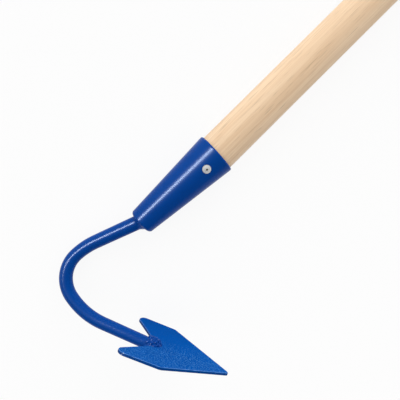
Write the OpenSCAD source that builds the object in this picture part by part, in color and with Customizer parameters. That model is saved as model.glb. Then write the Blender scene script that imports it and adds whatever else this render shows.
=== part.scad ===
// Single-tine cultivator: an arrow-shaped steel blade on a bent steel neck, in a conical socket
// on a wooden handle. It is laid on its side, as it rests on a floor: the socket's rim and one
// ear of the blade touch the floor at z = 0, and the handle points along +X.

/* [Handle] */

// Diameter of the handle where it enters the socket, mm
handle_mouth_d = 28.4; // [22:0.1:29]
// Diameter of the straight grip length, mm
grip_d = 27; // [20:0.5:28]
// Distance from the socket's mouth to the start of the straight grip, mm
grip_start = 160; // [80:5:500]
// Length of the handle outside the socket, mm
handle_length = 1200; // [500:10:1800]
// Radius of the rounded edge at the free end, mm
handle_end_r = 6; // [1:0.5:6]
// Room between the end of the handle and the floor of the socket, mm
seat_room = 6.2; // [4.2:0.1:30]
// Play between the seat and the socket's wall, mm
seat_gap = 0.1; // [0.05:0.05:0.5]
// Length of the handle's full thickness inside the socket's mouth, mm
shoulder_dip = 1; // [0.5:0.1:1.2]

/* [Socket] */

// Outside diameter of the socket at its mouth, mm
socket_mouth_d = 32; // [31.6:0.1:36]
// Outside diameter of the socket at its lower end, mm
socket_end_d = 19.8; // [18.4:0.1:28]
// Length of the socket, mm
socket_length = 74.9; // [60:0.1:110]
// Wall thickness of the socket, mm
socket_wall = 1.5; // [0.8:0.1:1.6]
// Thickness of the socket's closed lower end, mm
socket_floor = 5; // [3:0.5:8]
// Radius of the rounded edge at the lower end, mm
socket_end_r = 2.4; // [0.5:0.1:4]
// Radius of the rounded outer edge at the mouth, mm
socket_rim_r = 1.2; // [0.3:0.1:1.4]
// Angle between the socket's axis and the handle's axis, degrees
socket_tilt = 2.3; // [0:0.1:4]

/* [Screw] */

// Distance from the socket's mouth to the screw, mm
screw_below_mouth = 13.5; // [8:0.5:30]
// Turn of the screw round the socket, from the side towards the blade, degrees
screw_turn = 19.6; // [-90:0.2:90]
// Diameter of the screw's head, mm
screw_head_d = 6.3; // [5:0.1:9]
// Height of the screw's head, mm
screw_head_h = 1.9; // [1.2:0.1:3]
// Diameter of the screw's shank, mm
screw_shank_d = 3.5; // [2.5:0.1:4.5]
// Length of the screw's shank with its point, mm
screw_length = 18; // [10:1:24]
// Play round the shank in the socket's hole, on the diameter, mm
screw_hole_play = 0.3; // [0.1:0.1:1]
// Depth that the head is let into the socket's wall, mm
screw_seat_depth = 0.4; // [0.2:0.05:0.6]
// Width of the slots of the cross in the head, mm
cross_slot_w = 0.9; // [0.5:0.1:1.4]
// Length of the slots of the cross in the head, mm
cross_slot_l = 3.5; // [2:0.1:4.6]
// Depth of the cross in the head, mm
cross_depth = 1.1; // [0.5:0.1:1.4]

/* [Neck] */

// Diameter of the neck's round bar at the socket, mm
neck_d = 10.8; // [8:0.1:13]
// Diameter of the bar at the blade, mm
neck_foot_d = 8.9; // [6:0.1:10]
// Angle of the neck to the handle's axis where it leaves the socket, degrees
neck_leave_angle = 20; // [5:0.1:35]
// Distance of the bar from the middle of the socket's end, away from the blade, mm
neck_offset = 1.1; // [0:0.1:1.6]
// Length of the bar's straight run below the socket, mm
neck_run = 36; // [15:0.1:60]
// Radius of the first, gentle bend, mm
bend_1_r = 57; // [40:1:200]
// Angle of the first bend, degrees
bend_1_angle = 17.6; // [4:0.1:25]
// Radius of the tight bend, mm
bend_2_r = 23.7; // [18:0.1:40]
// Angle of the tight bend, degrees
bend_2_angle = 82; // [70:0.1:110]
// Radius of the last bend, mm
bend_3_r = 54; // [40:1:120]
// Angle of the last bend, degrees
bend_3_angle = 33; // [15:0.1:40]
// Length of the straight run between the last bend and the blade's notch, mm
neck_foot = 43.1; // [24:0.1:60]
// Length that the bar runs on past the notch, into the blade, mm
neck_bite = 1.5; // [0.5:0.1:3]
// Length of the bar that stands inside the socket's hollow, mm
neck_tang = 1.5; // [0.5:0.5:4]

/* [Blade] */

// Width of the blade across its ears, mm
blade_width = 76.4; // [50:0.1:110]
// Width of the blade across its corners in the middle, mm
blade_mid_width = 74.6; // [48:0.1:108]
// Length of the blade from its tip to the ends of its ears, mm
blade_length = 83.2; // [60:0.1:120]
// Distance from the tip to the corners in the middle, mm
blade_mid_back = 47.6; // [30:0.1:70]
// Distance from the tip to the bottom of the notch, mm
notch_back = 55.8; // [35:0.1:80]
// Thickness of the blade, mm
blade_thickness = 2.2; // [1.6:0.1:4]
// Upward angle of each half of the blade, degrees
blade_fold = 3.8; // [0:0.1:8]
// Radius of the corners in the middle, mm
blade_mid_r = 6; // [1:0.5:12]
// Radius of the ear's ends, mm
blade_ear_r = 5.4; // [1:0.1:6]
// Radius of the tip, mm
blade_tip_r = 2.1; // [0.8:0.1:4]
// Height of the blade's upper face over the bar's centre line, mm
blade_rise = 1.8; // [0.5:0.1:4]
// Angle between the blade and the end of the bar, in the plane of symmetry, degrees
blade_pitch = 2.7; // [0:0.1:6]

/* [Welds] */

// Width that the socket's weld adds round the bar, mm
collar_width = 1.6; // [1.5:0.1:2.4]
// Length of the socket's weld along the bar, mm
collar_length = 3.5; // [1.5:0.1:5]
// Distance of the weld's middle from the bar's middle, towards the blade, mm
collar_shift = 1.3; // [0.6:0.1:1.4]
// Radius of the blade's weld round the end of the bar, mm
bead_r = 8.4; // [7:0.1:12]
// Thickness of the blade's weld through the blade, mm
bead_thickness = 12.4; // [11:0.1:16]
// Distance from the bottom of the notch back to the weld's middle, mm
bead_back = 2.4; // [0:0.1:5]

/* [Hidden] */

$fn = 96;
enamel = [0.01, 0.16, 0.5];
zinc = [0.78, 0.78, 0.77];
ash = [0.86, 0.74, 0.55];
too_far = 60;
// Length that each piece of the bar runs into the thicker piece before it.
lap = 0.3;
// The socket's weld starts this far inside the socket's end and stands this far off the bar at
// its other end.
collar_dip = 1.2;
collar_edge = 0.4;

handle_mouth_r = handle_mouth_d / 2;
seat_length = socket_length - socket_floor - seat_room;
grip_r = grip_d / 2;
neck_r = neck_d / 2;
neck_foot_r = neck_foot_d / 2;

// Cone of the socket: the outside radius falls by cone_k for each mm below the mouth.
cone_k = (socket_mouth_d - socket_end_d) / 2 / socket_length;
cone_angle = atan(cone_k);
cone_stretch = sqrt(1 + cone_k * cone_k);

// Centre line of the neck, in the plane of symmetry: a heading is counted from the handle's +X.
socket_end = -socket_length * [cos(socket_tilt), sin(socket_tilt)];
heading_1 = 180 + neck_leave_angle;
heading_2 = heading_1 - bend_1_angle;
heading_3 = heading_2 - bend_2_angle;
heading_4 = heading_3 - bend_3_angle;
neck_from = socket_end + neck_offset * way(socket_tilt - 90);
point_1 = neck_from + neck_run * way(heading_1);
point_2 = after_bend(point_1, heading_1, bend_1_r, bend_1_angle);
point_3 = after_bend(point_2, heading_2, bend_2_r, bend_2_angle);
point_4 = after_bend(point_3, heading_3, bend_3_r, bend_3_angle);
middle_2 = point_2 + bend_2_r * way(heading_2 - 90);
middle_3 = point_3 + bend_3_r * way(heading_3 - 90);
blade_heading = heading_4 - blade_pitch;
notch_at = point_4 + neck_foot * way(heading_4) - blade_rise * way(heading_4 + 90);
tip_at = notch_at + notch_back * way(blade_heading);

// The bar tapers evenly from the socket to the blade. Each bend has the thickness of its middle.
after_1 = neck_run + arc_length(bend_1_r, bend_1_angle);
after_2 = after_1 + arc_length(bend_2_r, bend_2_angle);
after_3 = after_2 + arc_length(bend_3_r, bend_3_angle);
bar_length = after_3 + neck_foot;

// Blade corners, x towards the tip and y across, from the tip's upper face.
mid_corner = [-blade_mid_back, blade_mid_width / 2];
ear_corner = [-blade_length, blade_width / 2];
notch_point = [-notch_back, 0];
tip_centre = [-blade_tip_r / sin(atan2(mid_corner[1], -mid_corner[0])), 0];

// Position at rest: the tool rolls about the handle until the ear meets the floor. The ear's end
// is round, so its lowest point hangs a little less than its radius below its middle.
rim_middle = socket_r(-socket_rim_r) - socket_rim_r * cone_stretch;
axis_height = rim_middle + socket_rim_r;
ear_middle = round_middle(mid_corner, ear_corner, notch_point, blade_ear_r);
ear_side = ear_middle[1] * cos(blade_fold) - blade_thickness * sin(blade_fold);
ear_lift = ear_middle[1] * sin(blade_fold);
ear_reach = tip_at[1] + ear_middle[0] * sin(blade_heading) - ear_lift * cos(blade_heading);
roll_near = roll_for(blade_ear_r);
roll = roll_for(blade_ear_r * norm([cos(roll_near), sin(roll_near) * sin(blade_heading)]));

// Middle of the whole part's box, along and across the handle.
low_x = middle_3[0] - bend_3_r - bar_r((after_2 + after_3) / 2);
box_middle_x = (handle_length + low_x) / 2;
tip_front = tip_centre[0] + blade_tip_r;
tip_reach = tip_at[1] + tip_front * sin(blade_heading) + blade_thickness * cos(blade_heading);
low_y = -cos(roll) * tip_reach;
high_y = -cos(roll) * (middle_2[1] - bend_2_r) + bar_r((after_1 + after_2) / 2);
box_middle_y = (high_y + low_y) / 2;

function way(heading) = [cos(heading), sin(heading)];

// End of a bend to the right, from a point with a heading.
function after_bend(from, heading, r, angle) =
    from + r * way(heading - 90) + r * way(heading - angle + 90);

// Roll at which a point of the ear hangs a depth below the ear's middle and meets the floor.
function roll_for(depth) =
    acos((axis_height - depth) / norm([ear_side, ear_reach])) - atan2(ear_reach, ear_side);

function arc_length(r, angle) = r * angle * PI / 180;

// Radius of the bar at a length along it from the socket's end.
function bar_r(along) = neck_r + (neck_foot_r - neck_r) * along / bar_length;

function unit(v) = v / norm(v);

// Middle of the circle that rounds the corner at b, between a and c.
function round_middle(a, b, c, r) =
    let (
        to_a = unit(a - b),
        to_c = unit(c - b),
        half = acos(to_a * to_c) / 2
    )
    b + unit(to_a + to_c) * r / sin(half);

// The two points where that circle meets the sides.
function round_ends(a, b, c, r) =
    let (
        to_a = unit(a - b),
        to_c = unit(c - b),
        back = r / tan(acos(to_a * to_c) / 2)
    )
    [b + to_a * back, b + to_c * back];

// Outside radius of the socket at a height z (0 at the mouth, negative below it).
function socket_r(z) = socket_mouth_d / 2 + cone_k * z;

// Radius of the socket's hollow at a height z.
function hollow_r(z) = socket_r(z) - socket_wall * cone_stretch;

module at_rest() {
    translate([-box_middle_x, -box_middle_y, axis_height])
        rotate([180 - roll, 0, 0])
            children();
}

// Z up the socket's axis, with 0 at its mouth.
module on_socket() {
    rotate([0, 0, socket_tilt])
        rotate([0, 90, 0])
            children();
}

// Z out of the socket's wall at the screw.
module at_screw() {
    on_socket()
        rotate([0, 0, screw_turn])
            translate([socket_r(-screw_below_mouth), 0, -screw_below_mouth])
                rotate([0, 90 + cone_angle, 0])
                    children();
}

// Z along the bar, away from the socket's end, and Y away from the blade.
module at_socket_end() {
    translate([neck_from[0], neck_from[1], 0])
        rotate([0, 0, heading_1])
            rotate([0, 90, 0])
                children();
}

// X towards the tip, Z up out of the blade, from the tip's upper face.
module on_blade() {
    translate([tip_at[0], tip_at[1], 0])
        rotate([0, 0, blade_heading])
            rotate([90, 0, 0])
                children();
}

// Straight, tapering piece of the bar from a point, which starts a length back from it.
module straight(from, heading, along, back, length) {
    translate([from[0], from[1], 0])
        rotate([0, 0, heading])
            translate([-back, 0, 0])
                rotate([0, 90, 0])
                    cylinder(
                        h = back + length,
                        r1 = bar_r(along - back),
                        r2 = bar_r(along + length)
                    );
}

// Bend of the bar to the right from a point, which starts a lap early.
module bend(from, heading, r, angle, bar) {
    middle = from + r * way(heading - 90);
    translate([middle[0], middle[1], 0])
        rotate([0, 0, heading - angle + 90])
            rotate_extrude(angle = angle + lap * 180 / PI / r)
                translate([r, 0])
                    circle(r = bar);
}

// Straight bar from inside the socket to the first bend.
module neck_start() {
    straight(neck_from, heading_1, 0, socket_floor + neck_tang, neck_run);
}

// Straight bar from the last bend into the blade.
module neck_end() {
    straight(point_4, heading_4, after_3, lap, neck_foot + neck_bite);
}

module neck_bar() {
    neck_start();
    bend(point_1, heading_1, bend_1_r, bend_1_angle, bar_r((neck_run + after_1) / 2));
    bend(point_2, heading_2, bend_2_r, bend_2_angle, bar_r((after_1 + after_2) / 2));
    bend(point_3, heading_3, bend_3_r, bend_3_angle, bar_r((after_2 + after_3) / 2));
    neck_end();
}

module screw_shank(play) {
    point = screw_shank_d / 2;
    translate([0, 0, -screw_length + point])
        cylinder(h = screw_length - point, r = (screw_shank_d + play) / 2);
    translate([0, 0, -screw_length])
        cylinder(h = point, r1 = 0.3, r2 = (screw_shank_d + play) / 2);
}

module head_disc() {
    translate([0, 0, -screw_seat_depth])
        cylinder(h = screw_head_h, d = screw_head_d);
}

module handle() {
    color(ash)
        at_rest()
            difference() {
                union() {
                    translate([-shoulder_dip, 0, 0])
                        rotate([0, 90, 0])
                            cylinder(h = grip_start + shoulder_dip, r1 = handle_mouth_r, r2 = grip_r);
                    translate([grip_start, 0, 0])
                        rotate([0, 90, 0])
                            grip();
                    on_socket()
                        seat();
                }
                at_screw()
                    screw_shank(0);
            }
}

// Straight length of the handle with its rounded free end.
module grip() {
    length = handle_length - grip_start;
    rotate_extrude() {
        square([grip_r - handle_end_r, length]);
        square([grip_r, length - handle_end_r]);
        translate([grip_r - handle_end_r, length - handle_end_r])
            circle(r = handle_end_r);
    }
}

// Tapered end of the handle, inside the socket.
module seat() {
    translate([0, 0, -seat_length])
        cylinder(
            h = seat_length + shoulder_dip / 2,
            r1 = hollow_r(-seat_length) - seat_gap,
            r2 = handle_mouth_r - 2 * seat_gap
        );
}

// Half section of the socket's outside.
module socket_section() {
    end_z = -socket_length + socket_end_r;
    end_middle = socket_r(end_z) - socket_end_r * cone_stretch;
    polygon([
        [0, -socket_length],
        [end_middle, -socket_length],
        [
            end_middle + socket_end_r / cone_stretch,
            end_z - socket_end_r * cone_k / cone_stretch
        ],
        [
            rim_middle + socket_rim_r / cone_stretch,
            -socket_rim_r - socket_rim_r * cone_k / cone_stretch
        ],
        [rim_middle, 0],
        [0, 0]
    ]);
    translate([end_middle, end_z])
        circle(r = socket_end_r);
    translate([rim_middle, -socket_rim_r])
        circle(r = socket_rim_r);
}

module socket() {
    floor_z = -socket_length + socket_floor;
    color(enamel)
        at_rest()
            difference() {
                on_socket()
                    difference() {
                        rotate_extrude()
                            socket_section();
                        translate([0, 0, floor_z])
                            cylinder(
                                h = -floor_z + 1,
                                r1 = hollow_r(floor_z),
                                r2 = hollow_r(1)
                            );
                    }
                neck_start();
                at_screw() {
                    cylinder(
                        h = 2 * socket_wall + 2,
                        r = (screw_shank_d + screw_hole_play) / 2,
                        center = true
                    );
                    head_disc();
                }
            }
}

module neck() {
    color(enamel)
        at_rest()
            neck_bar();
}

// One half of the blade's outline.
module blade_half() {
    mid_ends = round_ends([0, 0], mid_corner, ear_corner, blade_mid_r);
    mid_middle = round_middle([0, 0], mid_corner, ear_corner, blade_mid_r);
    ear_ends = round_ends(mid_corner, ear_corner, notch_point, blade_ear_r);
    side = unit(mid_corner);
    tip_end = tip_centre + blade_tip_r * [side[1], -side[0]];
    polygon([
        tip_centre,
        tip_end,
        mid_ends[0],
        mid_ends[1],
        ear_ends[0],
        ear_ends[1],
        notch_point
    ]);
    translate(mid_middle)
        circle(r = blade_mid_r);
    translate(ear_middle)
        circle(r = blade_ear_r);
    intersection() {
        translate(tip_centre)
            circle(r = blade_tip_r);
        translate([tip_centre[0] - blade_tip_r, 0])
            square([2 * blade_tip_r, blade_tip_r]);
    }
}

module half_plate() {
    translate([0, 0, -blade_thickness])
        rotate([blade_fold, 0, 0])
            linear_extrude(height = blade_thickness)
                blade_half();
}

module plate() {
    half_plate();
    mirror([0, 1, 0])
        half_plate();
}

module blade() {
    color(enamel)
        at_rest()
            difference() {
                on_blade()
                    plate();
                neck_end();
            }
}

// Weld between the socket's closed end and the bar, thickest towards the blade.
module socket_weld() {
    color(enamel)
        at_rest()
            difference() {
                at_socket_end()
                    translate([0, -collar_shift, -collar_dip])
                        cylinder(
                            h = collar_length + collar_dip,
                            r1 = neck_r + collar_width,
                            r2 = neck_r + collar_edge - collar_shift
                        );
                on_socket()
                    translate([0, 0, -socket_length])
                        cylinder(h = socket_length, r = too_far);
                neck_start();
            }
}

// Lens of weld round the end of the bar, on both faces of the blade.
module blade_weld() {
    half = bead_thickness / 2;
    ball_r = (bead_r * bead_r + half * half) / (2 * half);
    color(enamel)
        at_rest()
            difference() {
                on_blade()
                    translate([-notch_back - bead_back, 0, -blade_rise])
                        intersection() {
                            translate([0, 0, ball_r - half])
                                sphere(r = ball_r);
                            translate([0, 0, half - ball_r])
                                sphere(r = ball_r);
                        }
                neck_end();
                on_blade()
                    plate();
            }
}

module handle_screw() {
    dome = screw_head_h - screw_seat_depth;
    dome_r = (pow(screw_head_d / 2, 2) + dome * dome) / (2 * dome);
    color(zinc)
        at_rest()
            at_screw()
                difference() {
                    union() {
                        screw_shank(0);
                        intersection() {
                            head_disc();
                            translate([0, 0, dome - dome_r])
                                sphere(r = dome_r);
                        }
                    }
                    for (turn = [0, 90])
                        rotate([0, 0, turn])
                            translate([0, 0, dome])
                                cube([cross_slot_l, cross_slot_w, 2 * cross_depth], center = true);
                }
}

handle();
socket();
neck();
blade();
socket_weld();
blade_weld();
handle_screw();
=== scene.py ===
"""Single-tine cultivator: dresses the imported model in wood, enamel and zinc, and sets its stage."""

import math

import bpy
from bpy.props import FloatProperty, FloatVectorProperty, PointerProperty
from mathutils import Matrix, Vector


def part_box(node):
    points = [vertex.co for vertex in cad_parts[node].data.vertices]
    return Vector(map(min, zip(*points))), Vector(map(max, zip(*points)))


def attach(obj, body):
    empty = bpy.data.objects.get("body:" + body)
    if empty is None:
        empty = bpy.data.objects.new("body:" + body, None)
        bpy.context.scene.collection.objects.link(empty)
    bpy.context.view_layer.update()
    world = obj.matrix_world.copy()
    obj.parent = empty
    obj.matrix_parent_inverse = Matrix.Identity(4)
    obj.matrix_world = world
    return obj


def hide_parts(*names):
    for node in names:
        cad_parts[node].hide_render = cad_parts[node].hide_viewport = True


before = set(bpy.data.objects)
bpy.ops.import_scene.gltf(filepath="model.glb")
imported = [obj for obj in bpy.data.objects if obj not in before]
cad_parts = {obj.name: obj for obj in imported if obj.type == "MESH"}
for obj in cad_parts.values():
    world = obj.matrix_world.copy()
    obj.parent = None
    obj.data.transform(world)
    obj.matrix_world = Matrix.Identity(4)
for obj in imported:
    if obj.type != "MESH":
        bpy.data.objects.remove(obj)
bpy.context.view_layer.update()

bl_info = {
    "name": "Single-Tine Cultivator",
    "version": (1, 0, 0),
    "blender": (4, 5, 0),
    "location": "View3D > Sidebar > Cultivator",
    "description": "Models a cultivator with an arrow-shaped blade piece by piece",
    "category": "Add Mesh",
}

MM = 0.001
ROUND_SIDES = 128
BAR_SIDES = 64
BEND_STEP = math.radians(3)
# Half a pixel of the photograph's 400, as a share of its width.
HALF_PIXEL = 0.5 / 400
# Drops of metal on each face of the blade's weld, each turned on from the last.
DROPS = 26
GOLDEN_TURN = math.radians(137.5)


def length(name, description, default):
    return FloatProperty(
        name=name, description=description, default=default * MM, unit="LENGTH", precision=5
    )


def angle(name, description, default):
    return FloatProperty(
        name=name, description=description, default=math.radians(default), unit="ROTATION"
    )


def colour(name, description, default):
    return FloatVectorProperty(
        name=name, description=description, default=default, subtype="COLOR", min=0, max=1
    )


def share(name, description, default):
    return FloatProperty(
        name=name, description=description, default=default, subtype="FACTOR", min=0, max=1
    )


class CultivatorHandle(bpy.types.PropertyGroup):
    """Sizes of the wooden handle."""

    mouth_d: length("Mouth diameter", "Diameter where the handle enters the socket", 28.4)
    grip_d: length("Grip diameter", "Diameter of the straight grip length", 27)
    grip_start: length("Grip start", "From the socket's mouth to the straight length", 160)
    outside: length("Length", "Length of the handle outside the socket", 1200)
    end_r: length("End rounding", "Radius of the edge at the free end", 6)
    seat_room: length("Seat room", "From the handle's end to the socket's floor", 6.2)
    seat_gap: length("Seat gap", "Play between the seat and the socket's wall", 0.1)
    shoulder_dip: length("Shoulder dip", "Full thickness that stands inside the mouth", 1)


class CultivatorSocket(bpy.types.PropertyGroup):
    """Sizes of the conical socket."""

    mouth_d: length("Mouth diameter", "Outside diameter at the mouth", 32)
    end_d: length("End diameter", "Outside diameter at the closed end", 19.8)
    depth: length("Length", "Length of the socket", 74.9)
    wall: length("Wall", "Thickness of the wall", 1.5)
    floor: length("Floor", "Thickness of the closed end", 5)
    end_r: length("End rounding", "Radius of the edge at the closed end", 2.4)
    rim_r: length("Rim rounding", "Radius of the outer edge at the mouth", 1.2)
    tilt: angle("Tilt", "Between the socket's axis and the handle's axis", 2.3)


class CultivatorScrew(bpy.types.PropertyGroup):
    """Sizes of the screw through the socket."""

    below_mouth: length("Below the mouth", "From the socket's mouth to the screw", 13.5)
    turn: angle("Turn", "Round the socket, from the side towards the blade", 19.6)
    head_d: length("Head diameter", "Diameter of the head", 6.3)
    head_h: length("Head height", "Height of the head", 1.9)
    seat_depth: length("Seat depth", "Depth that the head is let into the wall", 0.4)
    shank_d: length("Shank diameter", "Diameter over the thread", 3.5)
    core_d: length("Core diameter", "Diameter at the thread's root", 2.5)
    shank_l: length("Shank length", "Length of the shank with its point", 18)
    pitch: length("Thread pitch", "Distance from one turn of the thread to the next", 1.4)
    slot_w: length("Slot width", "Width of the slots of the cross", 0.9)
    slot_l: length("Slot length", "Length of the slots of the cross", 3.5)
    slot_depth: length("Slot depth", "Depth of the cross", 1.1)


class CultivatorNeck(bpy.types.PropertyGroup):
    """Sizes of the bent neck."""

    start_d: length("Start diameter", "Diameter of the bar at the socket", 10.8)
    foot_d: length("Foot diameter", "Diameter of the bar at the blade", 8.9)
    leave_angle: angle("Leaving angle", "To the handle's axis, at the socket", 20)
    offset: length("Offset", "Off the middle of the socket's end, away from the blade", 1.1)
    run: length("Straight run", "Straight length below the socket", 36)
    bend_1_r: length("First bend radius", "Radius of the gentle bend", 57)
    bend_1_angle: angle("First bend", "Angle of the gentle bend", 17.6)
    bend_2_r: length("Second bend radius", "Radius of the tight bend", 23.7)
    bend_2_angle: angle("Second bend", "Angle of the tight bend", 82)
    bend_3_r: length("Third bend radius", "Radius of the last bend", 54)
    bend_3_angle: angle("Third bend", "Angle of the last bend", 33)
    foot: length("Foot", "Straight length between the last bend and the notch", 43.1)
    bite: length("Bite", "Length that runs past the notch, into the blade", 1.5)
    tang: length("Tang", "Length that stands inside the socket's hollow", 1.5)


class CultivatorBlade(bpy.types.PropertyGroup):
    """Sizes of the blade."""

    width: length("Width", "Across the ears", 76.4)
    mid_width: length("Middle width", "Across the corners in the middle", 74.6)
    reach: length("Length", "From the tip to the ends of the ears", 83.2)
    mid_back: length("Middle back", "From the tip to the corners in the middle", 47.6)
    notch_back: length("Notch back", "From the tip to the bottom of the notch", 55.8)
    thickness: length("Thickness", "Thickness of the plate", 2.2)
    fold: angle("Fold", "Upward angle of each half", 3.8)
    mid_r: length("Middle rounding", "Radius of the corners in the middle", 6)
    ear_r: length("Ear rounding", "Radius of the ear's ends", 5.4)
    tip_r: length("Tip rounding", "Radius of the tip", 2.1)
    rise: length("Rise", "Upper face over the bar's centre line", 1.8)
    pitch: angle("Pitch", "Between the blade and the end of the bar", 2.7)


class CultivatorWelds(bpy.types.PropertyGroup):
    """Sizes of the two welds."""

    collar_width: length("Collar width", "Width that the socket's weld adds round the bar", 1.6)
    collar_length: length("Collar length", "Length of the socket's weld along the bar", 3.5)
    collar_shift: length("Collar shift", "Middle of the socket's weld, towards the blade", 1.3)
    bead_r: length("Bead radius", "Radius of the weld round the end of the bar", 8.4)
    bead_thickness: length("Bead thickness", "Through the blade", 12.4)
    bead_back: length("Bead back", "From the notch back to the weld's middle", 2.4)


class CultivatorFinish(bpy.types.PropertyGroup):
    """Colours of the finishes."""

    enamel: colour("Enamel", "Colour of the enamel", (0.0, 0.051, 0.28))
    # Painted light: the enamel made lighter on the blade, for the light that falls on it.
    lit_blade_enamel: colour("Blade enamel", "Colour of the blade's enamel", (0.0, 0.074, 0.35))
    # Painted glint: colour of the pale specks on the blade's upper half.
    painted_glint: colour("Speck", "Colour of the specks in the blade's enamel", (0.06, 0.25, 0.6))
    # Painted highlight: colour of the pale line along the blade's rounded edges.
    edge: colour("Edge", "Colour of the thin enamel along the edges", (0.1, 0.26, 0.62))
    gloss: share("Enamel gloss", "Strength of the smooth enamel's gloss", 0.1)
    gloss_tint: colour("Gloss tint", "Colour of what the enamel reflects", (0.7, 0.82, 1.0))
    blade_coat: share("Blade gloss", "Strength of the blade's gloss", 0.02)
    wood_light: colour("Light wood", "Colour between the growth rings", (0.94, 0.71, 0.485))
    wood_dark: colour("Dark wood", "Colour of the growth rings", (0.8, 0.55, 0.34))
    zinc: colour("Zinc", "Colour of the plated screw", (0.92, 0.92, 0.9))


class CultivatorStage(bpy.types.PropertyGroup):
    """Camera, floor and light."""

    camera_place: FloatVectorProperty(
        name="Camera place",
        description="Where the camera stands",
        default=(-0.54191, 0.12325, 0.29482),
        subtype="TRANSLATION",
    )
    camera_turn: FloatVectorProperty(
        name="Camera turn",
        description="How the camera is turned",
        default=(math.radians(-15.5), math.radians(-11.555), math.radians(-43.482)),
        subtype="EULER",
    )
    lens: FloatProperty(
        name="Lens", description="Focal length on a 36 mm sensor", default=36, min=1
    )
    floor_size: FloatProperty(
        name="Floor size", description="Side of the floor", default=40, unit="LENGTH"
    )
    floor_colour: colour("Floor colour", "Colour of the floor", (0.94, 0.94, 0.94))
    floor_white: share("Floor white", "Share of plain white in the seen floor", 0.9)


def way(heading):
    """Unit vector with a heading, in the tool's plane of symmetry."""
    return Vector((math.cos(heading), math.sin(heading), 0))


def settings(context):
    return context.scene.cultivator


class CultivatorSettings(bpy.types.PropertyGroup):
    """All sizes and colours of the cultivator."""

    handle: PointerProperty(type=CultivatorHandle)
    socket: PointerProperty(type=CultivatorSocket)
    screw: PointerProperty(type=CultivatorScrew)
    neck: PointerProperty(type=CultivatorNeck)
    blade: PointerProperty(type=CultivatorBlade)
    welds: PointerProperty(type=CultivatorWelds)
    finish: PointerProperty(type=CultivatorFinish)
    stage: PointerProperty(type=CultivatorStage)
    roll: angle("Roll", "Turn about the handle at which an ear meets the floor", 21.503)


# Places. The tool's own frame has X up the handle from the middle of the socket's mouth,
# Y towards the blade and Z across its plane of symmetry.


def tool_to_row(cultivator):
    """Matrix from the tool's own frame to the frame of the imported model."""
    low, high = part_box("handle")
    middle = (low + high) / 2
    mouth = Vector((high.x - cultivator.handle.outside, middle.y, middle.z))
    return Matrix.Translation(mouth) @ Matrix.Rotation(math.pi - cultivator.roll, 4, "X")


def socket_matrix(socket):
    """X up the socket's axis, with 0 at its mouth."""
    return Matrix.Rotation(socket.tilt, 4, "Z")


def socket_point(socket, depth):
    """Point on the socket's axis, a depth below the mouth."""
    return -depth * way(socket.tilt)


def cone_slope(socket):
    return (socket.mouth_d - socket.end_d) / 2 / socket.depth


def socket_r(socket, depth):
    """Outside radius of the socket at a depth below its mouth."""
    return socket.mouth_d / 2 - cone_slope(socket) * depth


def hollow_r(socket, depth):
    """Radius of the socket's hollow at a depth below its mouth."""
    return socket_r(socket, depth) - socket.wall * math.hypot(1, cone_slope(socket))


def screw_matrix(cultivator):
    """Z out of the socket's wall at the screw."""
    socket, screw = cultivator.socket, cultivator.screw
    return (
        socket_matrix(socket)
        @ Matrix.Rotation(math.pi / 2, 4, "Y")
        @ Matrix.Rotation(screw.turn, 4, "Z")
        @ Matrix.Translation((socket_r(socket, screw.below_mouth), 0, -screw.below_mouth))
        @ Matrix.Rotation(math.pi / 2 + math.atan(cone_slope(socket)), 4, "Y")
    )


def neck_start(cultivator):
    """Middle of the bar at the socket's end."""
    socket = cultivator.socket
    end = socket_point(socket, socket.depth)
    return end + cultivator.neck.offset * way(socket.tilt - math.pi / 2)


def neck_path(cultivator):
    """Straight runs and bends of the bar, as (kind, start, heading, size, turn)."""
    neck = cultivator.neck
    start = neck_start(cultivator)
    heading = math.pi + neck.leave_angle
    path = [("run", start, heading, neck.run, 0)]
    point = start + neck.run * way(heading)
    bends = (
        (neck.bend_1_r, neck.bend_1_angle),
        (neck.bend_2_r, neck.bend_2_angle),
        (neck.bend_3_r, neck.bend_3_angle),
    )
    for r, turn in bends:
        path.append(("bend", point, heading, r, turn))
        middle = point + r * way(heading - math.pi / 2)
        heading -= turn
        point = middle + r * way(heading + math.pi / 2)
    path.append(("run", point, heading, neck.foot, 0))
    return path


def neck_length(path):
    return sum(size if kind == "run" else size * turn for kind, _, _, size, turn in path)


def blade_matrix(cultivator):
    """X towards the tip, Z up out of the blade, from the bottom of the notch's upper face."""
    blade, neck = cultivator.blade, cultivator.neck
    _, start, heading, foot, _ = neck_path(cultivator)[-1]
    notch = start + foot * way(heading) - blade.rise * way(heading + math.pi / 2)
    return (
        Matrix.Translation(notch)
        @ Matrix.Rotation(heading - blade.pitch, 4, "Z")
        @ Matrix.Rotation(math.pi / 2, 4, "X")
    )


# Modelling by hand.


def clear_selection():
    for obj in list(bpy.context.selected_objects):
        obj.select_set(False)


def take(obj):
    """Selects one object alone and makes it active."""
    clear_selection()
    obj.select_set(True)
    bpy.context.view_layer.objects.active = obj


def edit(obj):
    take(obj)
    bpy.ops.object.mode_set(mode="EDIT")
    bpy.ops.mesh.select_all(action="SELECT")


def leave_edit():
    bpy.ops.object.mode_set(mode="OBJECT")


def name_piece(name):
    obj = bpy.context.object
    obj.name = name
    obj.data.name = name
    return obj


def settle(obj, matrix):
    """Puts a piece in its place and leaves the place in its mesh."""
    take(obj)
    obj.matrix_world = matrix @ obj.matrix_world
    bpy.ops.object.transform_apply(location=True, rotation=True, scale=True)


def apply_modifier(obj, kind, **values):
    """Adds a modifier, sets it and applies it."""
    take(obj)
    modifier = obj.modifiers.new(kind.title(), kind)
    for key, value in values.items():
        setattr(modifier, key, value)
    bpy.ops.object.modifier_apply(modifier=modifier.name)


def face_outwards(obj):
    edit(obj)
    bpy.ops.mesh.normals_make_consistent(inside=False)
    leave_edit()


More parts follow.
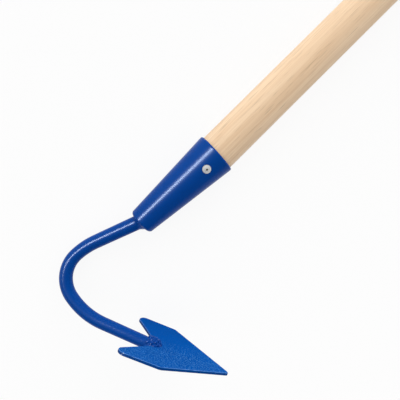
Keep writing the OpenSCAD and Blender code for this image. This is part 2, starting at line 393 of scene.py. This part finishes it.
def tube(name, stations, sides):
    """Closed tube through rings in the plane of symmetry, each a middle, a heading and a radius."""
    clear_selection()
    middle, heading, radius = stations[0]
    bpy.ops.mesh.primitive_circle_add(
        vertices=sides,
        radius=radius,
        fill_type="NGON",
        location=middle,
        rotation=(0, math.pi / 2, heading),
    )
    obj = name_piece(name)
    bpy.ops.object.transform_apply(location=True, rotation=True, scale=True)
    edit(obj)
    for (last, last_heading, last_r), (middle, heading, radius) in zip(stations, stations[1:]):
        bpy.ops.mesh.extrude_region_move(TRANSFORM_OT_translate={"value": middle - last})
        if heading != last_heading:
            bpy.ops.transform.rotate(
                value=last_heading - heading, orient_axis="Z", center_override=middle
            )
        if radius != last_r:
            bpy.ops.transform.resize(value=(radius / last_r,) * 3, center_override=middle)
    leave_edit()
    face_outwards(obj)
    return obj


def lathe(name, profile, sides):
    """Closed turned shape along X, through rings that are each a place and a radius."""
    return tube(name, [(Vector((x, 0, 0)), 0, radius) for x, radius in profile], sides)


def arc(x, y, r, start, end, steps):
    """Points of a circle's arc in the plane of a profile."""
    angles = [start + (end - start) * k / steps for k in range(steps + 1)]
    return [(x + r * math.cos(a), y + r * math.sin(a)) for a in angles]


def cut(obj, cutter):
    """Takes a shape away from a piece."""
    apply_modifier(obj, "BOOLEAN", operation="DIFFERENCE", solver="EXACT", object=cutter)
    bpy.data.objects.remove(cutter)


def join(pieces, name):
    clear_selection()
    for piece in pieces:
        piece.select_set(True)
    bpy.context.view_layer.objects.active = pieces[0]
    bpy.ops.object.join()
    return name_piece(name)


def smooth(obj, sharp=35):
    take(obj)
    bpy.ops.object.shade_smooth_by_angle(angle=math.radians(sharp))


def finish_piece(obj, node, material, matrix, sharp=35):
    """Places a modelled piece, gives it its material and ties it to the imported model."""
    settle(obj, matrix)
    obj.data.materials.clear()
    obj.data.materials.append(material)
    smooth(obj, sharp)
    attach(obj, "root")
    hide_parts(node)


# Materials.


class Recipe:
    """Node tree of one material, on Object coordinates in metres."""

    def __init__(self, name):
        self.material = bpy.data.materials.new(name)
        self.material.use_nodes = True
        self.tree = self.material.node_tree
        self.shader = self.tree.nodes["Principled BSDF"]
        self.place = self.tree.nodes.new("ShaderNodeTexCoord").outputs["Object"]

    def node(self, kind, inputs=None, **values):
        node = self.tree.nodes.new("ShaderNode" + kind)
        for key, value in values.items():
            setattr(node, key, value)
        for key, value in (inputs or {}).items():
            if isinstance(value, bpy.types.NodeSocket):
                self.tree.links.new(value, node.inputs[key])
            else:
                node.inputs[key].default_value = value
        return node

    def stretched(self, scale):
        """Object coordinates with their own scale along each axis."""
        return self.node("Mapping", {"Vector": self.place, "Scale": scale}).outputs[0]

    def noise(self, scale, detail=2, roughness=0.5, place=None):
        inputs = {
            "Vector": place or self.place,
            "Scale": scale,
            "Detail": detail,
            "Roughness": roughness,
        }
        return self.node("TexNoise", inputs).outputs["Fac"]

    def remap(self, value, low, high, to_low, to_high):
        inputs = {
            "Value": value, "From Min": low, "From Max": high, "To Min": to_low, "To Max": to_high
        }
        return self.node("MapRange", inputs, clamp=True).outputs["Result"]

    def math(self, operation, a, b=0.0):
        return self.node("Math", {0: a, 1: b}, operation=operation).outputs[0]

    def blend(self, part, a, b):
        """Colour between a and b."""
        inputs = {"Factor": part, "A": a, "B": b}
        node = self.tree.nodes.new("ShaderNodeMix")
        node.data_type = "RGBA"
        for key, index in (("Factor", 0), ("A", 6), ("B", 7)):
            value = inputs[key]
            if isinstance(value, bpy.types.NodeSocket):
                self.tree.links.new(value, node.inputs[index])
            else:
                node.inputs[index].default_value = value
        return node.outputs[2]

    def set(self, **values):
        """Constant values on the shader's own sockets."""
        for key, value in values.items():
            self.shader.inputs[key.replace("_", " ")].default_value = value

    def link(self, key, output):
        self.tree.links.new(output, self.shader.inputs[key])

    def near(self, box, inner, outer):
        """Share that falls from 1 to 0 between two distances from the middle of a box."""
        middle = (box[0] + box[1]) / 2
        inputs = {0: self.place, 1: middle}
        away = self.node("VectorMath", inputs, operation="DISTANCE").outputs["Value"]
        return self.remap(away, inner, outer, 1, 0)

    def level(self, up):
        """How far a face lies square to a direction, from 0 to 1."""
        normal = self.node("TexCoord").outputs["Normal"]
        dot = self.node("VectorMath", {0: normal, 1: up}, operation="DOT_PRODUCT")
        return self.math("ABSOLUTE", dot.outputs["Value"])

    def bump(self, height, distance, strength=1.0, under=None):
        inputs = {"Height": height, "Distance": distance, "Strength": strength}
        if under:
            inputs["Normal"] = under
        return self.node("Bump", inputs).outputs["Normal"]


def rgba(values, factor=1.0):
    return tuple(value * factor for value in values) + (1.0,)


def enamel_material(tool):
    """Smooth, thick, glossy enamel that grows rough near the blade's weld."""
    finish = tool.finish
    recipe = Recipe("gloss_enamel")
    cloudy = recipe.noise(45, detail=3)
    low, high = rgba(finish.enamel, 0.94), rgba(finish.enamel, 1.06)
    recipe.link("Base Color", recipe.blend(cloudy, low, high))
    waves = recipe.bump(recipe.noise(40, detail=0), 0.000004)
    rough = recipe.near(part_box("blade_weld"), 0.012, 0.05)
    lumps = recipe.math("MULTIPLY", recipe.noise(700, detail=2), rough)
    surface = recipe.bump(lumps, 0.00022, under=waves)
    recipe.link("Normal", surface)
    recipe.set(Roughness=0.25, Specular_IOR_Level=finish.gloss)
    recipe.set(Specular_Tint=rgba(finish.gloss_tint))
    return recipe.material


def blade_material(tool):
    """Enamel with fine pale specks of painted glint on the upper half, painted shade on the side
    faces, and a pale painted highlight along the edges.
    """
    finish = tool.finish
    recipe = Recipe("orange_peel_enamel")
    cloudy = recipe.noise(60, detail=3)
    low, high = rgba(finish.lit_blade_enamel, 0.93), rgba(finish.lit_blade_enamel, 1.07)
    base = recipe.blend(cloudy, low, high)
    height = recipe.node("SeparateXYZ", {0: recipe.place}).outputs["Z"]
    upper = recipe.remap(height, 0.03, 0.052, 0.1, 1)
    # Painted glints: pale specks on the upper half stand in for light caught by the orange peel.
    painted_glints = recipe.remap(recipe.noise(1500, detail=2), 0.52, 0.68, 0, 0.9)
    base = recipe.blend(recipe.math("MULTIPLY", painted_glints, upper), base, rgba(finish.painted_glint))
    up = (tool_to_row(tool) @ blade_matrix(tool)).to_3x3().col[2]
    level = recipe.level(up)
    # Painted shade: the plate's side faces turn towards a darker copy of the enamel.
    side = recipe.remap(level, 0.3, 0.75, 1, 0)
    base = recipe.blend(side, base, rgba(finish.lit_blade_enamel, 0.6))
    # Painted highlight: a pale, broken line on the rounding between the side faces and the upper
    # face.
    rise = recipe.remap(level, 0.5, 0.8, 0, 1)
    fall = recipe.remap(level, 0.88, 0.985, 1, 0)
    patchy = recipe.remap(recipe.noise(300, detail=3), 0.35, 0.6, 0.35, 1)
    painted_highlight = recipe.math("MULTIPLY", recipe.math("MULTIPLY", rise, fall), patchy)
    recipe.link("Base Color", recipe.blend(painted_highlight, base, rgba(finish.edge)))
    recipe.link("Coat Weight", recipe.remap(level, 0.9, 0.99, 0.3, finish.blade_coat))
    peel = recipe.bump(recipe.math("MULTIPLY", recipe.noise(900, detail=3), upper), 0.00015)
    recipe.link("Normal", peel)
    recipe.link("Coat Normal", peel)
    recipe.set(Roughness=0.5, Specular_IOR_Level=0.0, Coat_Roughness=0.15, Coat_IOR=1.5)
    return recipe.material


def wood_material(tool):
    """Pale wood with fine lengthwise grain."""
    finish = tool.finish
    recipe = Recipe("pale_wood")
    rings_place = recipe.stretched((4, 150, 150))
    rings = recipe.noise(1, detail=4, roughness=0.65, place=rings_place)
    fibre = recipe.noise(1, detail=3, roughness=0.6, place=recipe.stretched((16, 850, 850)))
    pores = recipe.noise(1, detail=1, place=recipe.stretched((70, 1700, 1700)))
    bands = recipe.remap(rings, 0.4, 0.68, 0, 0.85)
    base = recipe.blend(bands, rgba(finish.wood_light), rgba(finish.wood_dark))
    streaks = recipe.remap(fibre, 0.45, 0.68, 0, 0.8)
    base = recipe.blend(streaks, base, rgba(finish.wood_dark))
    dashes = recipe.remap(pores, 0.62, 0.74, 0, 0.6)
    base = recipe.blend(dashes, base, rgba(finish.wood_dark, 0.72))
    recipe.link("Base Color", base)
    recipe.link("Roughness", recipe.remap(fibre, 0.2, 0.8, 0.45, 0.62))
    recipe.link("Normal", recipe.bump(fibre, 0.00005, 0.6))
    recipe.set(IOR=1.4)
    return recipe.material


def zinc_material(tool):
    """Bright zinc plate with fine scratches, and painted shade in its cross recess."""
    finish = tool.finish
    recipe = Recipe("bright_zinc")
    mottle = recipe.noise(900, detail=2)
    base = recipe.blend(mottle, rgba(finish.zinc, 0.85), rgba(finish.zinc))
    # Painted shade: near black where the head lies below its dome, in the cross recess and down the
    # head's side.
    recess_shade = recipe.remap(recess_depth(recipe, tool), 0.1 * MM, 0.28 * MM, 0, 0.95)
    recipe.link("Base Color", recipe.blend(recess_shade, base, rgba((0.02, 0.02, 0.02))))
    recipe.set(Metallic=0.4)
    recipe.link("Roughness", recipe.remap(recipe.noise(2500, detail=3), 0.3, 0.7, 0.38, 0.5))
    recipe.link("Normal", recipe.bump(recipe.noise(3000, detail=2), 0.00001))
    return recipe.material


def recess_depth(recipe, tool):
    """How far a point of the screw's head lies under the head's dome."""
    screw = tool.screw
    dome = screw.head_h - screw.seat_depth
    dome_r = ((screw.head_d / 2) ** 2 + dome**2) / (2 * dome)
    matrix = tool_to_row(tool) @ screw_matrix(tool)
    inputs = {0: recipe.place, 1: matrix @ Vector((0, 0, dome))}
    arm = recipe.node("VectorMath", inputs, operation="SUBTRACT").outputs[0]
    axis = matrix.to_3x3().col[2]
    high = recipe.node("VectorMath", {0: arm, 1: axis}, operation="DOT_PRODUCT").outputs["Value"]
    whole = recipe.node("VectorMath", {0: arm, 1: arm}, operation="DOT_PRODUCT").outputs["Value"]
    flat = recipe.math("SUBTRACT", whole, recipe.math("MULTIPLY", high, high))
    sag = recipe.math("DIVIDE", flat, 2 * dome_r)
    return recipe.math("MULTIPLY", recipe.math("ADD", high, sag), -1.0)


def material(context, name):
    """Named material of the object, made when it is first asked for."""
    makers = {
        "gloss_enamel": enamel_material,
        "orange_peel_enamel": blade_material,
        "pale_wood": wood_material,
        "bright_zinc": zinc_material,
    }
    return bpy.data.materials.get(name) or makers[name](settings(context))


# Operators that model the pieces and set the stage.


class CULTIVATOR_OT_handle(bpy.types.Operator):
    """Model the wooden handle with its seat in the socket"""

    bl_idname = "cultivator.handle"
    bl_label = "Handle"

    def execute(self, context):
        tool = settings(context)
        size, socket = tool.handle, tool.socket
        seat_end = socket.depth - socket.floor - size.seat_room
        shoulder = size.shoulder_dip
        chamfer = 1.0 * MM
        seat_r = hollow_r(socket, seat_end) - size.seat_gap
        mouth_r, grip_r = size.mouth_d / 2, size.grip_d / 2
        stations = [
            (socket_point(socket, seat_end), socket.tilt, seat_r - chamfer),
            (socket_point(socket, seat_end - chamfer), socket.tilt, seat_r),
            (socket_point(socket, 2 * shoulder), socket.tilt, mouth_r - 2 * size.seat_gap),
            (Vector((-shoulder, 0, 0)), 0, mouth_r),
            (Vector((size.grip_start, 0, 0)), 0, grip_r),
        ]
        corner_x, corner_r = size.outside - size.end_r, grip_r - size.end_r
        for x, r in arc(corner_x, corner_r, size.end_r, math.pi / 2, 0, 12):
            stations.append((Vector((x, 0, 0)), 0, r))
        obj = tube("wooden_handle", stations, ROUND_SIDES)
        cut(obj, screw_hole(tool, 0))
        finish_piece(obj, "handle", material(context, "pale_wood"), tool_to_row(tool))
        return {"FINISHED"}


def screw_hole(tool, play):
    """Cutter for the screw's shank, in the tool's frame."""
    screw = tool.screw
    r = (screw.shank_d + play) / 2
    profile = [(-screw.shank_l, r * 0.2), (-screw.shank_l + r, r), (0.3 * MM, r)]
    cutter = lathe("screw_hole", profile, BAR_SIDES)
    settle(cutter, screw_matrix(tool) @ Matrix.Rotation(-math.pi / 2, 4, "Y"))
    return cutter


class CULTIVATOR_OT_socket(bpy.types.Operator):
    """Model the conical socket with its rolled rim and closed end"""

    bl_idname = "cultivator.socket"
    bl_label = "Socket"

    def execute(self, context):
        tool = settings(context)
        obj = lathe("socket_shell", self.profile(tool.socket), ROUND_SIDES)
        settle(obj, socket_matrix(tool.socket))
        cut(obj, screw_hole(tool, 0.3 * MM))
        depth, head_r = tool.screw.seat_depth, tool.screw.head_d / 2
        well = lathe("head_well", [(-depth, head_r), (2 * MM, head_r)], BAR_SIDES)
        settle(well, screw_matrix(tool) @ Matrix.Rotation(-math.pi / 2, 4, "Y"))
        cut(obj, well)
        finish_piece(obj, "socket", material(context, "gloss_enamel"), tool_to_row(tool))
        return {"FINISHED"}

    def profile(self, socket):
        """Half section from the middle of the closed end, round the rim, to the hollow's floor."""
        slope = math.atan(cone_slope(socket))
        stretch = math.hypot(1, cone_slope(socket))
        end_x = -socket.depth + socket.end_r
        end_middle = socket_r(socket, -end_x) - socket.end_r * stretch
        rim = socket.rim_r
        rim_middle = socket_r(socket, rim) - rim * stretch
        profile = arc(end_x, end_middle, socket.end_r, math.pi, math.pi / 2 + slope, 10)
        profile += arc(-rim, rim_middle, rim, math.pi / 2 + slope, 0, 12)
        profile.append((0, hollow_r(socket, 0)))
        floor_depth = socket.depth - socket.floor
        profile.append((-floor_depth, hollow_r(socket, floor_depth)))
        return profile


class CULTIVATOR_OT_neck(bpy.types.Operator):
    """Model the bent, tapering bar"""

    bl_idname = "cultivator.neck"
    bl_label = "Neck"

    def execute(self, context):
        tool = settings(context)
        obj = tube("neck_bar", self.stations(tool), BAR_SIDES)
        finish_piece(obj, "neck", material(context, "gloss_enamel"), tool_to_row(tool))
        return {"FINISHED"}

    def stations(self, tool):
        neck = tool.neck
        path = neck_path(tool)
        whole = neck_length(path)
        edge = 0.8 * MM
        skin = 0.05 * MM

        def bar_r(along):
            return (neck.start_d + (neck.foot_d - neck.start_d) * along / whole) / 2 - skin

        inside = tool.socket.floor + neck.tang
        _, start, heading, _, _ = path[0]
        stations = [
            (start - inside * way(heading), heading, bar_r(-inside) - edge),
            (start - (inside - edge) * way(heading), heading, bar_r(-inside)),
        ]
        along = 0.0
        for kind, point, heading, size, turn in path:
            if kind == "run":
                stations.append((point, heading, bar_r(along)))
                along += size
                continue
            middle = point + size * way(heading - math.pi / 2)
            steps = max(4, round(turn / BEND_STEP))
            for k in range(steps):
                now = heading - turn * k / steps
                here = middle + size * way(now + math.pi / 2)
                stations.append((here, now, bar_r(along + size * turn * k / steps)))
            along += size * turn
        _, point, heading, foot, _ = path[-1]
        end = foot + neck.bite
        stations.append((point + (end - edge) * way(heading), heading, bar_r(whole)))
        stations.append((point + end * way(heading), heading, bar_r(whole) - edge))
        return stations


class CULTIVATOR_OT_blade(bpy.types.Operator):
    """Model the folded, arrow-shaped blade"""

    bl_idname = "cultivator.blade"
    bl_label = "Blade"

    def execute(self, context):
        tool = settings(context)
        size = tool.blade
        obj = self.half(size)
        settle(obj, Matrix.Rotation(size.fold, 4, "X"))
        self.flatten_middle(obj)
        apply_modifier(obj, "MIRROR", use_axis=(False, True, False), merge_threshold=0.05 * MM)
        face_outwards(obj)
        apply_modifier(
            obj,
            "BEVEL",
            width=0.5 * MM,
            segments=4,
            limit_method="ANGLE",
            angle_limit=math.radians(50),
        )
        apply_modifier(obj, "REMESH", mode="VOXEL", voxel_size=0.33 * MM)
        apply_modifier(obj, "SMOOTH", factor=0.5, iterations=2)
        finish_piece(
            obj,
            "blade",
            material(context, "orange_peel_enamel"),
            tool_to_row(tool) @ blade_matrix(tool) @ Matrix.Translation((size.notch_back, 0, 0)),
            sharp=180,
        )
        return {"FINISHED"}

    def half(self, size):
        """Half plate with X towards the tip, whose upper face is at z = 0."""
        mid = Vector((-size.mid_back, size.mid_width / 2, 0))
        ear = Vector((-size.reach, size.width / 2, 0))
        notch = Vector((-size.notch_back, 0, 0))
        tip = Vector((0, 0, 0))
        slant = math.atan2(mid.y, -mid.x)
        nose = Vector((-size.tip_r / math.sin(slant), 0, 0))
        clear_selection()
        bpy.ops.mesh.primitive_plane_add(size=1 * MM, location=(0, 0, 0))
        obj = name_piece("blade_plate")
        edit(obj)
        bpy.ops.mesh.merge(type="CENTER")
        bpy.ops.transform.translate(value=nose + Vector((size.tip_r, 0, 0)))
        self.round_to(nose, math.pi / 2 - slant, 6)
        self.round_corner(tip, mid, ear, size.mid_r, 8)
        self.round_corner(mid, ear, notch, size.ear_r, 14)
        self.line_to(notch)
        bpy.ops.mesh.select_all(action="SELECT")
        bpy.ops.mesh.edge_face_add()
        bpy.ops.mesh.extrude_region_move(
            TRANSFORM_OT_translate={"value": (0, 0, -size.thickness)}
        )
        leave_edit()
        face_outwards(obj)
        return obj

    def pen(self):
        """Place of the only selected corner."""
        obj = bpy.context.object
        obj.update_from_editmode()
        return next(v.co.copy() for v in obj.data.vertices if v.select)

    def line_to(self, point):
        step = point - self.pen()
        bpy.ops.mesh.extrude_region_move(TRANSFORM_OT_translate={"value": step})

    def round_to(self, middle, turn, steps):
        bpy.ops.mesh.spin(steps=steps, angle=turn, center=middle, axis=(0, 0, -1))

    def round_corner(self, before, corner, after, r, steps):
        """Line to a corner and round it towards the next one."""
        to_before = (before - corner).normalized()
        to_after = (after - corner).normalized()
        half = to_before.angle(to_after) / 2
        self.line_to(corner + to_before * (r / math.tan(half)))
        middle = corner + (to_before + to_after).normalized() * (r / math.sin(half))
        self.round_to(middle, math.pi - 2 * half, steps)

    def flatten_middle(self, obj):
        """Takes away the wall on the centre line and brings its lower corners back to it."""
        take(obj)
        near = 0.3 * MM

        def central(corners):
            return all(abs(obj.data.vertices[k].co.y) < near for k in corners)

        for face in obj.data.polygons:
            face.select = central(face.vertices)
        for edge in obj.data.edges:
            edge.select = central(edge.vertices)
        for vertex in obj.data.vertices:
            vertex.select = abs(vertex.co.y) < near
        bpy.ops.object.mode_set(mode="EDIT")
        bpy.ops.transform.resize(value=(1, 0, 1), center_override=(0, 0, 0))
        bpy.ops.mesh.select_mode(type="FACE")
        bpy.ops.mesh.delete(type="ONLY_FACE")
        bpy.ops.mesh.select_mode(type="VERT")
        leave_edit()


def cloud_texture(name, size):
    texture = bpy.data.textures.new(name, "CLOUDS")
    texture.noise_scale = size
    texture.noise_depth = 2
    return texture


class CULTIVATOR_OT_welds(bpy.types.Operator):
    """Model the weld round each end of the bar"""

    bl_idname = "cultivator.welds"
    bl_label = "Welds"

    def execute(self, context):
        tool = settings(context)
        self.collar(context, tool)
        self.bead(context, tool)
        return {"FINISHED"}

    def collar(self, context, tool):
        """Hollow fillet from the socket's end to the bar, thickest towards the blade."""
        welds, neck, socket = tool.welds, tool.neck, tool.socket
        bar_r = neck.start_d / 2
        start = neck_start(tool)
        socket_heading = math.pi + socket.tilt
        neck_heading = math.pi + neck.leave_angle
        to_blade = way(socket.tilt + math.pi / 2)
        sunk = 0.6 * MM
        tuck = 0.2 * MM
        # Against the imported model's plain cone, and the power that makes the curve hollow.
        longer, slimmer, hollowness = 1.1, 0.9, 2.2
        steps = 12
        stations = []
        for k in range(-1, steps + 1):
            part = max(0, k) / steps
            left = (1 - part) ** hollowness
            heading = socket_heading + (neck_heading - socket_heading) * part
            along = welds.collar_length * longer * part - (sunk if k < 0 else 0)
            middle = start + along * way(neck_heading) + welds.collar_shift * left * to_blade
            r = bar_r + welds.collar_width * slimmer * left - tuck * part
            stations.append((middle, heading, r))
        obj = tube("socket_weld_collar", stations, ROUND_SIDES)
        lumps = cloud_texture("collar_lumps", 2 * MM)
        apply_modifier(obj, "DISPLACE", strength=0.35 * MM, mid_level=0.5, texture=lumps)
        enamel = material(context, "gloss_enamel")
        finish_piece(obj, "socket_weld", enamel, tool_to_row(tool), sharp=180)

    def bead(self, context, tool):
        """Lens of weld with drops of metal on both faces."""
        welds, blade = tool.welds, tool.blade
        # The drops fill what the lens leaves of the weld's full width and thickness.
        lens_width, lens_thickness, drops_width = 0.82, 0.9, 0.96
        drop_r, drop_change = 1.1, 0.35
        shift_back = 1.2 * MM
        half = welds.bead_thickness / 2 * lens_thickness
        r = welds.bead_r * lens_width
        bpy.ops.mesh.primitive_uv_sphere_add(segments=48, ring_count=24, radius=r)
        pieces = [name_piece("blade_weld_bead")]
        settle(pieces[0], Matrix.Diagonal((1, 1, half / r, 1)))
        for k in range(DROPS):
            turn = k * GOLDEN_TURN
            out = r * drops_width * math.sqrt((k + 0.5) / DROPS)
            high = half * math.sqrt(1 - (out / r) ** 2)
            for side in (1, -1):
                bpy.ops.mesh.primitive_ico_sphere_add(
                    subdivisions=3,
                    radius=(drop_r + drop_change * math.sin(5 * k + side)) * MM,
                    location=(out * math.cos(turn), out * math.sin(turn), side * high),
                )
                pieces.append(bpy.context.object)
        obj = join(pieces, "blade_weld_bead")
        apply_modifier(obj, "REMESH", mode="VOXEL", voxel_size=0.22 * MM)
        apply_modifier(obj, "SMOOTH", factor=0.5, iterations=4)
        place = Matrix.Translation((-welds.bead_back - shift_back, 0, -blade.rise))
        matrix = tool_to_row(tool) @ blade_matrix(tool) @ place
        enamel = material(context, "gloss_enamel")
        finish_piece(obj, "blade_weld", enamel, matrix, sharp=180)


class CULTIVATOR_OT_screw(bpy.types.Operator):
    """Model the screw with its cross recess and thread"""

    bl_idname = "cultivator.screw"
    bl_label = "Screw"

    def execute(self, context):
        tool = settings(context)
        size = tool.screw
        obj = lathe("socket_screw", self.profile(size), BAR_SIDES)
        for turn in (0, math.pi / 2):
            cut(obj, self.slot(size, turn))
        obj = join([obj, self.thread(size)], "socket_screw")
        finish_piece(
            obj,
            "handle_screw",
            material(context, "bright_zinc"),
            tool_to_row(tool) @ screw_matrix(tool) @ Matrix.Rotation(-math.pi / 2, 4, "Y"),
        )
        return {"FINISHED"}

    def profile(self, size):
        """Half section from the point to the top of the head."""
        core = size.core_d / 2
        head_r = size.head_d / 2
        dome = size.head_h - size.seat_depth
        dome_r = (head_r**2 + dome**2) / (2 * dome)
        skin, rim_h, dome_start = 0.05 * MM, 0.2 * MM, 0.25 * MM
        point, under = -size.shank_l, -size.seat_depth
        profile = [(point, core * 0.1), (point + size.shank_d, core), (under, core)]
        profile += [(under, head_r - skin), (rim_h, head_r - skin)]
        rim = math.acos(1 - (dome - dome_start) / dome_r)
        profile += arc(dome - dome_r, 0, dome_r, rim, 0.08, 14)[1:]
        return profile

    def thread(self, size):
        """Sharp ridge that winds up the shank, a little sunk into it."""
        sunk = 0.1 * MM
        high = (size.shank_d - size.core_d) / 2 + sunk
        turns = math.floor((size.shank_l - size.shank_d - size.head_h) / size.pitch)
        bpy.ops.mesh.primitive_circle_add(vertices=3, radius=high * 2 / 3)
        ridge = name_piece("thread_ridge")
        lift = size.shank_d / 2 - high * 2 / 3
        settle(ridge, Matrix.Translation((size.shank_d - size.shank_l, lift, 0)))
        apply_modifier(
            ridge,
            "SCREW",
            axis="X",
            screw_offset=size.pitch,
            iterations=turns,
            steps=BAR_SIDES,
        )
        edit(ridge)
        bpy.ops.mesh.fill_holes(sides=3)
        leave_edit()
        face_outwards(ridge)
        return ridge

    def slot(self, size, turn):
        """Cutter for one slot of the cross, narrower at its bottom."""
        dome = size.head_h - size.seat_depth
        bpy.ops.mesh.primitive_cube_add(size=1)
        cutter = name_piece("cross_slot")
        edit(cutter)
        bpy.ops.transform.resize(value=(2 * size.slot_depth, size.slot_w, size.slot_l))
        leave_edit()
        for face in cutter.data.polygons:
            face.select = face.normal.x < -0.5
        bpy.ops.object.mode_set(mode="EDIT")
        bpy.ops.transform.resize(value=(1, 0.6, 0.5))
        leave_edit()
        settle(cutter, Matrix.Rotation(turn, 4, "X") @ Matrix.Translation((dome, 0, 0)))
        return cutter


class CULTIVATOR_OT_stage(bpy.types.Operator):
    """Set the camera, the floor and the light"""

    bl_idname = "cultivator.stage"
    bl_label = "Stage"

    def execute(self, context):
        stage = settings(context).stage
        self.camera(context, stage)
        self.floor(stage)
        self.world(context)
        unlit = self.unlit_pieces()
        self.strip(*STRIP).light_linking.receiver_collection = unlit
        for sun in SUNS:
            self.sun(*sun)
        context.scene.view_settings.view_transform = "Standard"
        return {"FINISHED"}

    def camera(self, context, stage):
        bpy.ops.object.camera_add(location=stage.camera_place, rotation=stage.camera_turn)
        camera = context.object
        camera.name = "photo_camera"
        camera.data.sensor_width = 36
        camera.data.lens = stage.lens
        camera.data.shift_x = -HALF_PIXEL
        camera.data.shift_y = HALF_PIXEL
        camera.data.clip_start = 0.01
        context.scene.camera = camera

    def floor(self, stage):
        clear_selection()
        bpy.ops.mesh.primitive_plane_add(size=stage.floor_size, location=(0, 0, 0))
        floor = name_piece("floor")
        recipe = Recipe("pale_floor")
        recipe.set(Base_Color=rgba(stage.floor_colour), Roughness=0.9, Specular_IOR_Level=0.0)
        path = recipe.node("LightPath").outputs
        seen = recipe.math("MAXIMUM", path["Is Camera Ray"], path["Is Glossy Ray"])
        seen = recipe.math("MAXIMUM", seen, path["Is Transmission Ray"])
        white = recipe.node("Emission", {"Color": rgba((1, 1, 1)), "Strength": 1.0})
        mix = recipe.node("MixShader", {"Fac": recipe.math("MULTIPLY", seen, stage.floor_white)})
        recipe.tree.links.new(recipe.shader.outputs[0], mix.inputs[1])
        recipe.tree.links.new(white.outputs[0], mix.inputs[2])
        output = recipe.tree.nodes["Material Output"]
        recipe.tree.links.new(mix.outputs[0], output.inputs["Surface"])
        floor.data.materials.append(recipe.material)

    def world(self, context):
        """White round the horizon, dark above it, and white wherever the camera sees it."""
        world = bpy.data.worlds.new("studio")
        context.scene.world = world
        world.use_nodes = True
        tree = world.node_tree
        place = tree.nodes.new("ShaderNodeTexCoord").outputs["Generated"]
        split = tree.nodes.new("ShaderNodeSeparateXYZ")
        tree.links.new(place, split.inputs[0])
        fade = tree.nodes.new("ShaderNodeMapRange")
        tree.links.new(split.outputs["Z"], fade.inputs["Value"])
        heights = {"From Min": 0.12, "From Max": 0.35, "To Min": 1.0, "To Max": 0.05}
        for key, value in heights.items():
            fade.inputs[key].default_value = value
        seen = tree.nodes.new("ShaderNodeLightPath").outputs["Is Camera Ray"]
        colour = tree.nodes.new("ShaderNodeMath")
        colour.operation = "MAXIMUM"
        tree.links.new(fade.outputs["Result"], colour.inputs[0])
        tree.links.new(seen, colour.inputs[1])
        tree.links.new(colour.outputs[0], tree.nodes["Background"].inputs["Color"])

    def unlit_pieces(self):
        """Collection that keeps the strip lamp off the screw and the wood."""
        unlit = bpy.data.collections.new("no_strip")
        for piece in ("socket_screw", "wooden_handle"):
            unlit.objects.link(bpy.data.objects[piece])
        for member in unlit.collection_objects:
            member.light_linking.link_state = "EXCLUDE"
        return unlit

    def strip(self, name, place, size, power):
        """Area lamp along X that is seen in the enamel alone."""
        back = (Vector(place) - HEAD).normalized()
        along = Vector((1, 0, 0))
        side = back.cross(along).normalized()
        turn = Matrix((side.cross(back), side, back)).transposed()
        bpy.ops.object.light_add(type="AREA", location=place, rotation=turn.to_euler())
        lamp = bpy.context.object
        lamp.name = name
        lamp.data.shape = "RECTANGLE"
        lamp.data.size, lamp.data.size_y = size
        lamp.data.energy = power
        lamp.visible_diffuse = False
        return lamp

    def sun(self, name, place, strength, spread):
        """Soft light from a direction, as even along the handle as at the blade."""
        turn = Vector(place).to_track_quat("Z", "Y").to_euler()
        bpy.ops.object.light_add(type="SUN", location=place, rotation=turn)
        lamp = bpy.context.object
        lamp.name = name
        lamp.data.energy = strength
        lamp.data.angle = math.radians(spread)
        lamp.visible_glossy = False


# The tool's metal end, which the strip lamp faces.
HEAD = Vector((-0.6, 0.05, 0.02))
# Name, place, length and height, power.
STRIP = ("long_strip", (-0.81, 1.1, 0.99), (1.2, 0.26), 116)
# Name, direction it comes from, strength, spread in degrees.
SUNS = (
    ("sky_light", (0, 0, 3), 1.45, 150),
    ("key_light", (-0.6, 2.2, 2), 0.6, 60),
    ("blade_light", (2.6, 1.4, 0.7), 2.1, 60),
)


class CULTIVATOR_PT_panel(bpy.types.Panel):
    """Lists the pieces of the cultivator"""

    bl_label = "Cultivator"
    bl_idname = "CULTIVATOR_PT_panel"
    bl_space_type = "VIEW_3D"
    bl_region_type = "UI"
    bl_category = "Cultivator"

    def draw(self, context):
        for operator in OPERATORS:
            self.layout.operator(operator.bl_idname)
        tool = settings(context)
        for name in ("handle", "socket", "neck", "blade", "welds", "screw", "finish"):
            group = getattr(tool, name)
            box = self.layout.box()
            for key in group.bl_rna.properties.keys():
                if key not in ("rna_type", "name"):
                    box.prop(group, key)


GROUPS = (
    CultivatorHandle,
    CultivatorSocket,
    CultivatorScrew,
    CultivatorNeck,
    CultivatorBlade,
    CultivatorWelds,
    CultivatorFinish,
    CultivatorStage,
    CultivatorSettings,
)
OPERATORS = (
    CULTIVATOR_OT_handle,
    CULTIVATOR_OT_socket,
    CULTIVATOR_OT_neck,
    CULTIVATOR_OT_blade,
    CULTIVATOR_OT_welds,
    CULTIVATOR_OT_screw,
    CULTIVATOR_OT_stage,
)


def register():
    for cls in GROUPS + OPERATORS + (CULTIVATOR_PT_panel,):
        bpy.utils.register_class(cls)
    bpy.types.Scene.cultivator = PointerProperty(type=CultivatorSettings)


def unregister():
    del bpy.types.Scene.cultivator
    for cls in reversed(GROUPS + OPERATORS + (CULTIVATOR_PT_panel,)):
        bpy.utils.unregister_class(cls)


def main():
    register()
    bpy.ops.cultivator.handle()
    bpy.ops.cultivator.socket()
    bpy.ops.cultivator.neck()
    bpy.ops.cultivator.blade()
    bpy.ops.cultivator.welds()
    bpy.ops.cultivator.screw()
    bpy.ops.cultivator.stage()


if __name__ == "__main__":
    main()
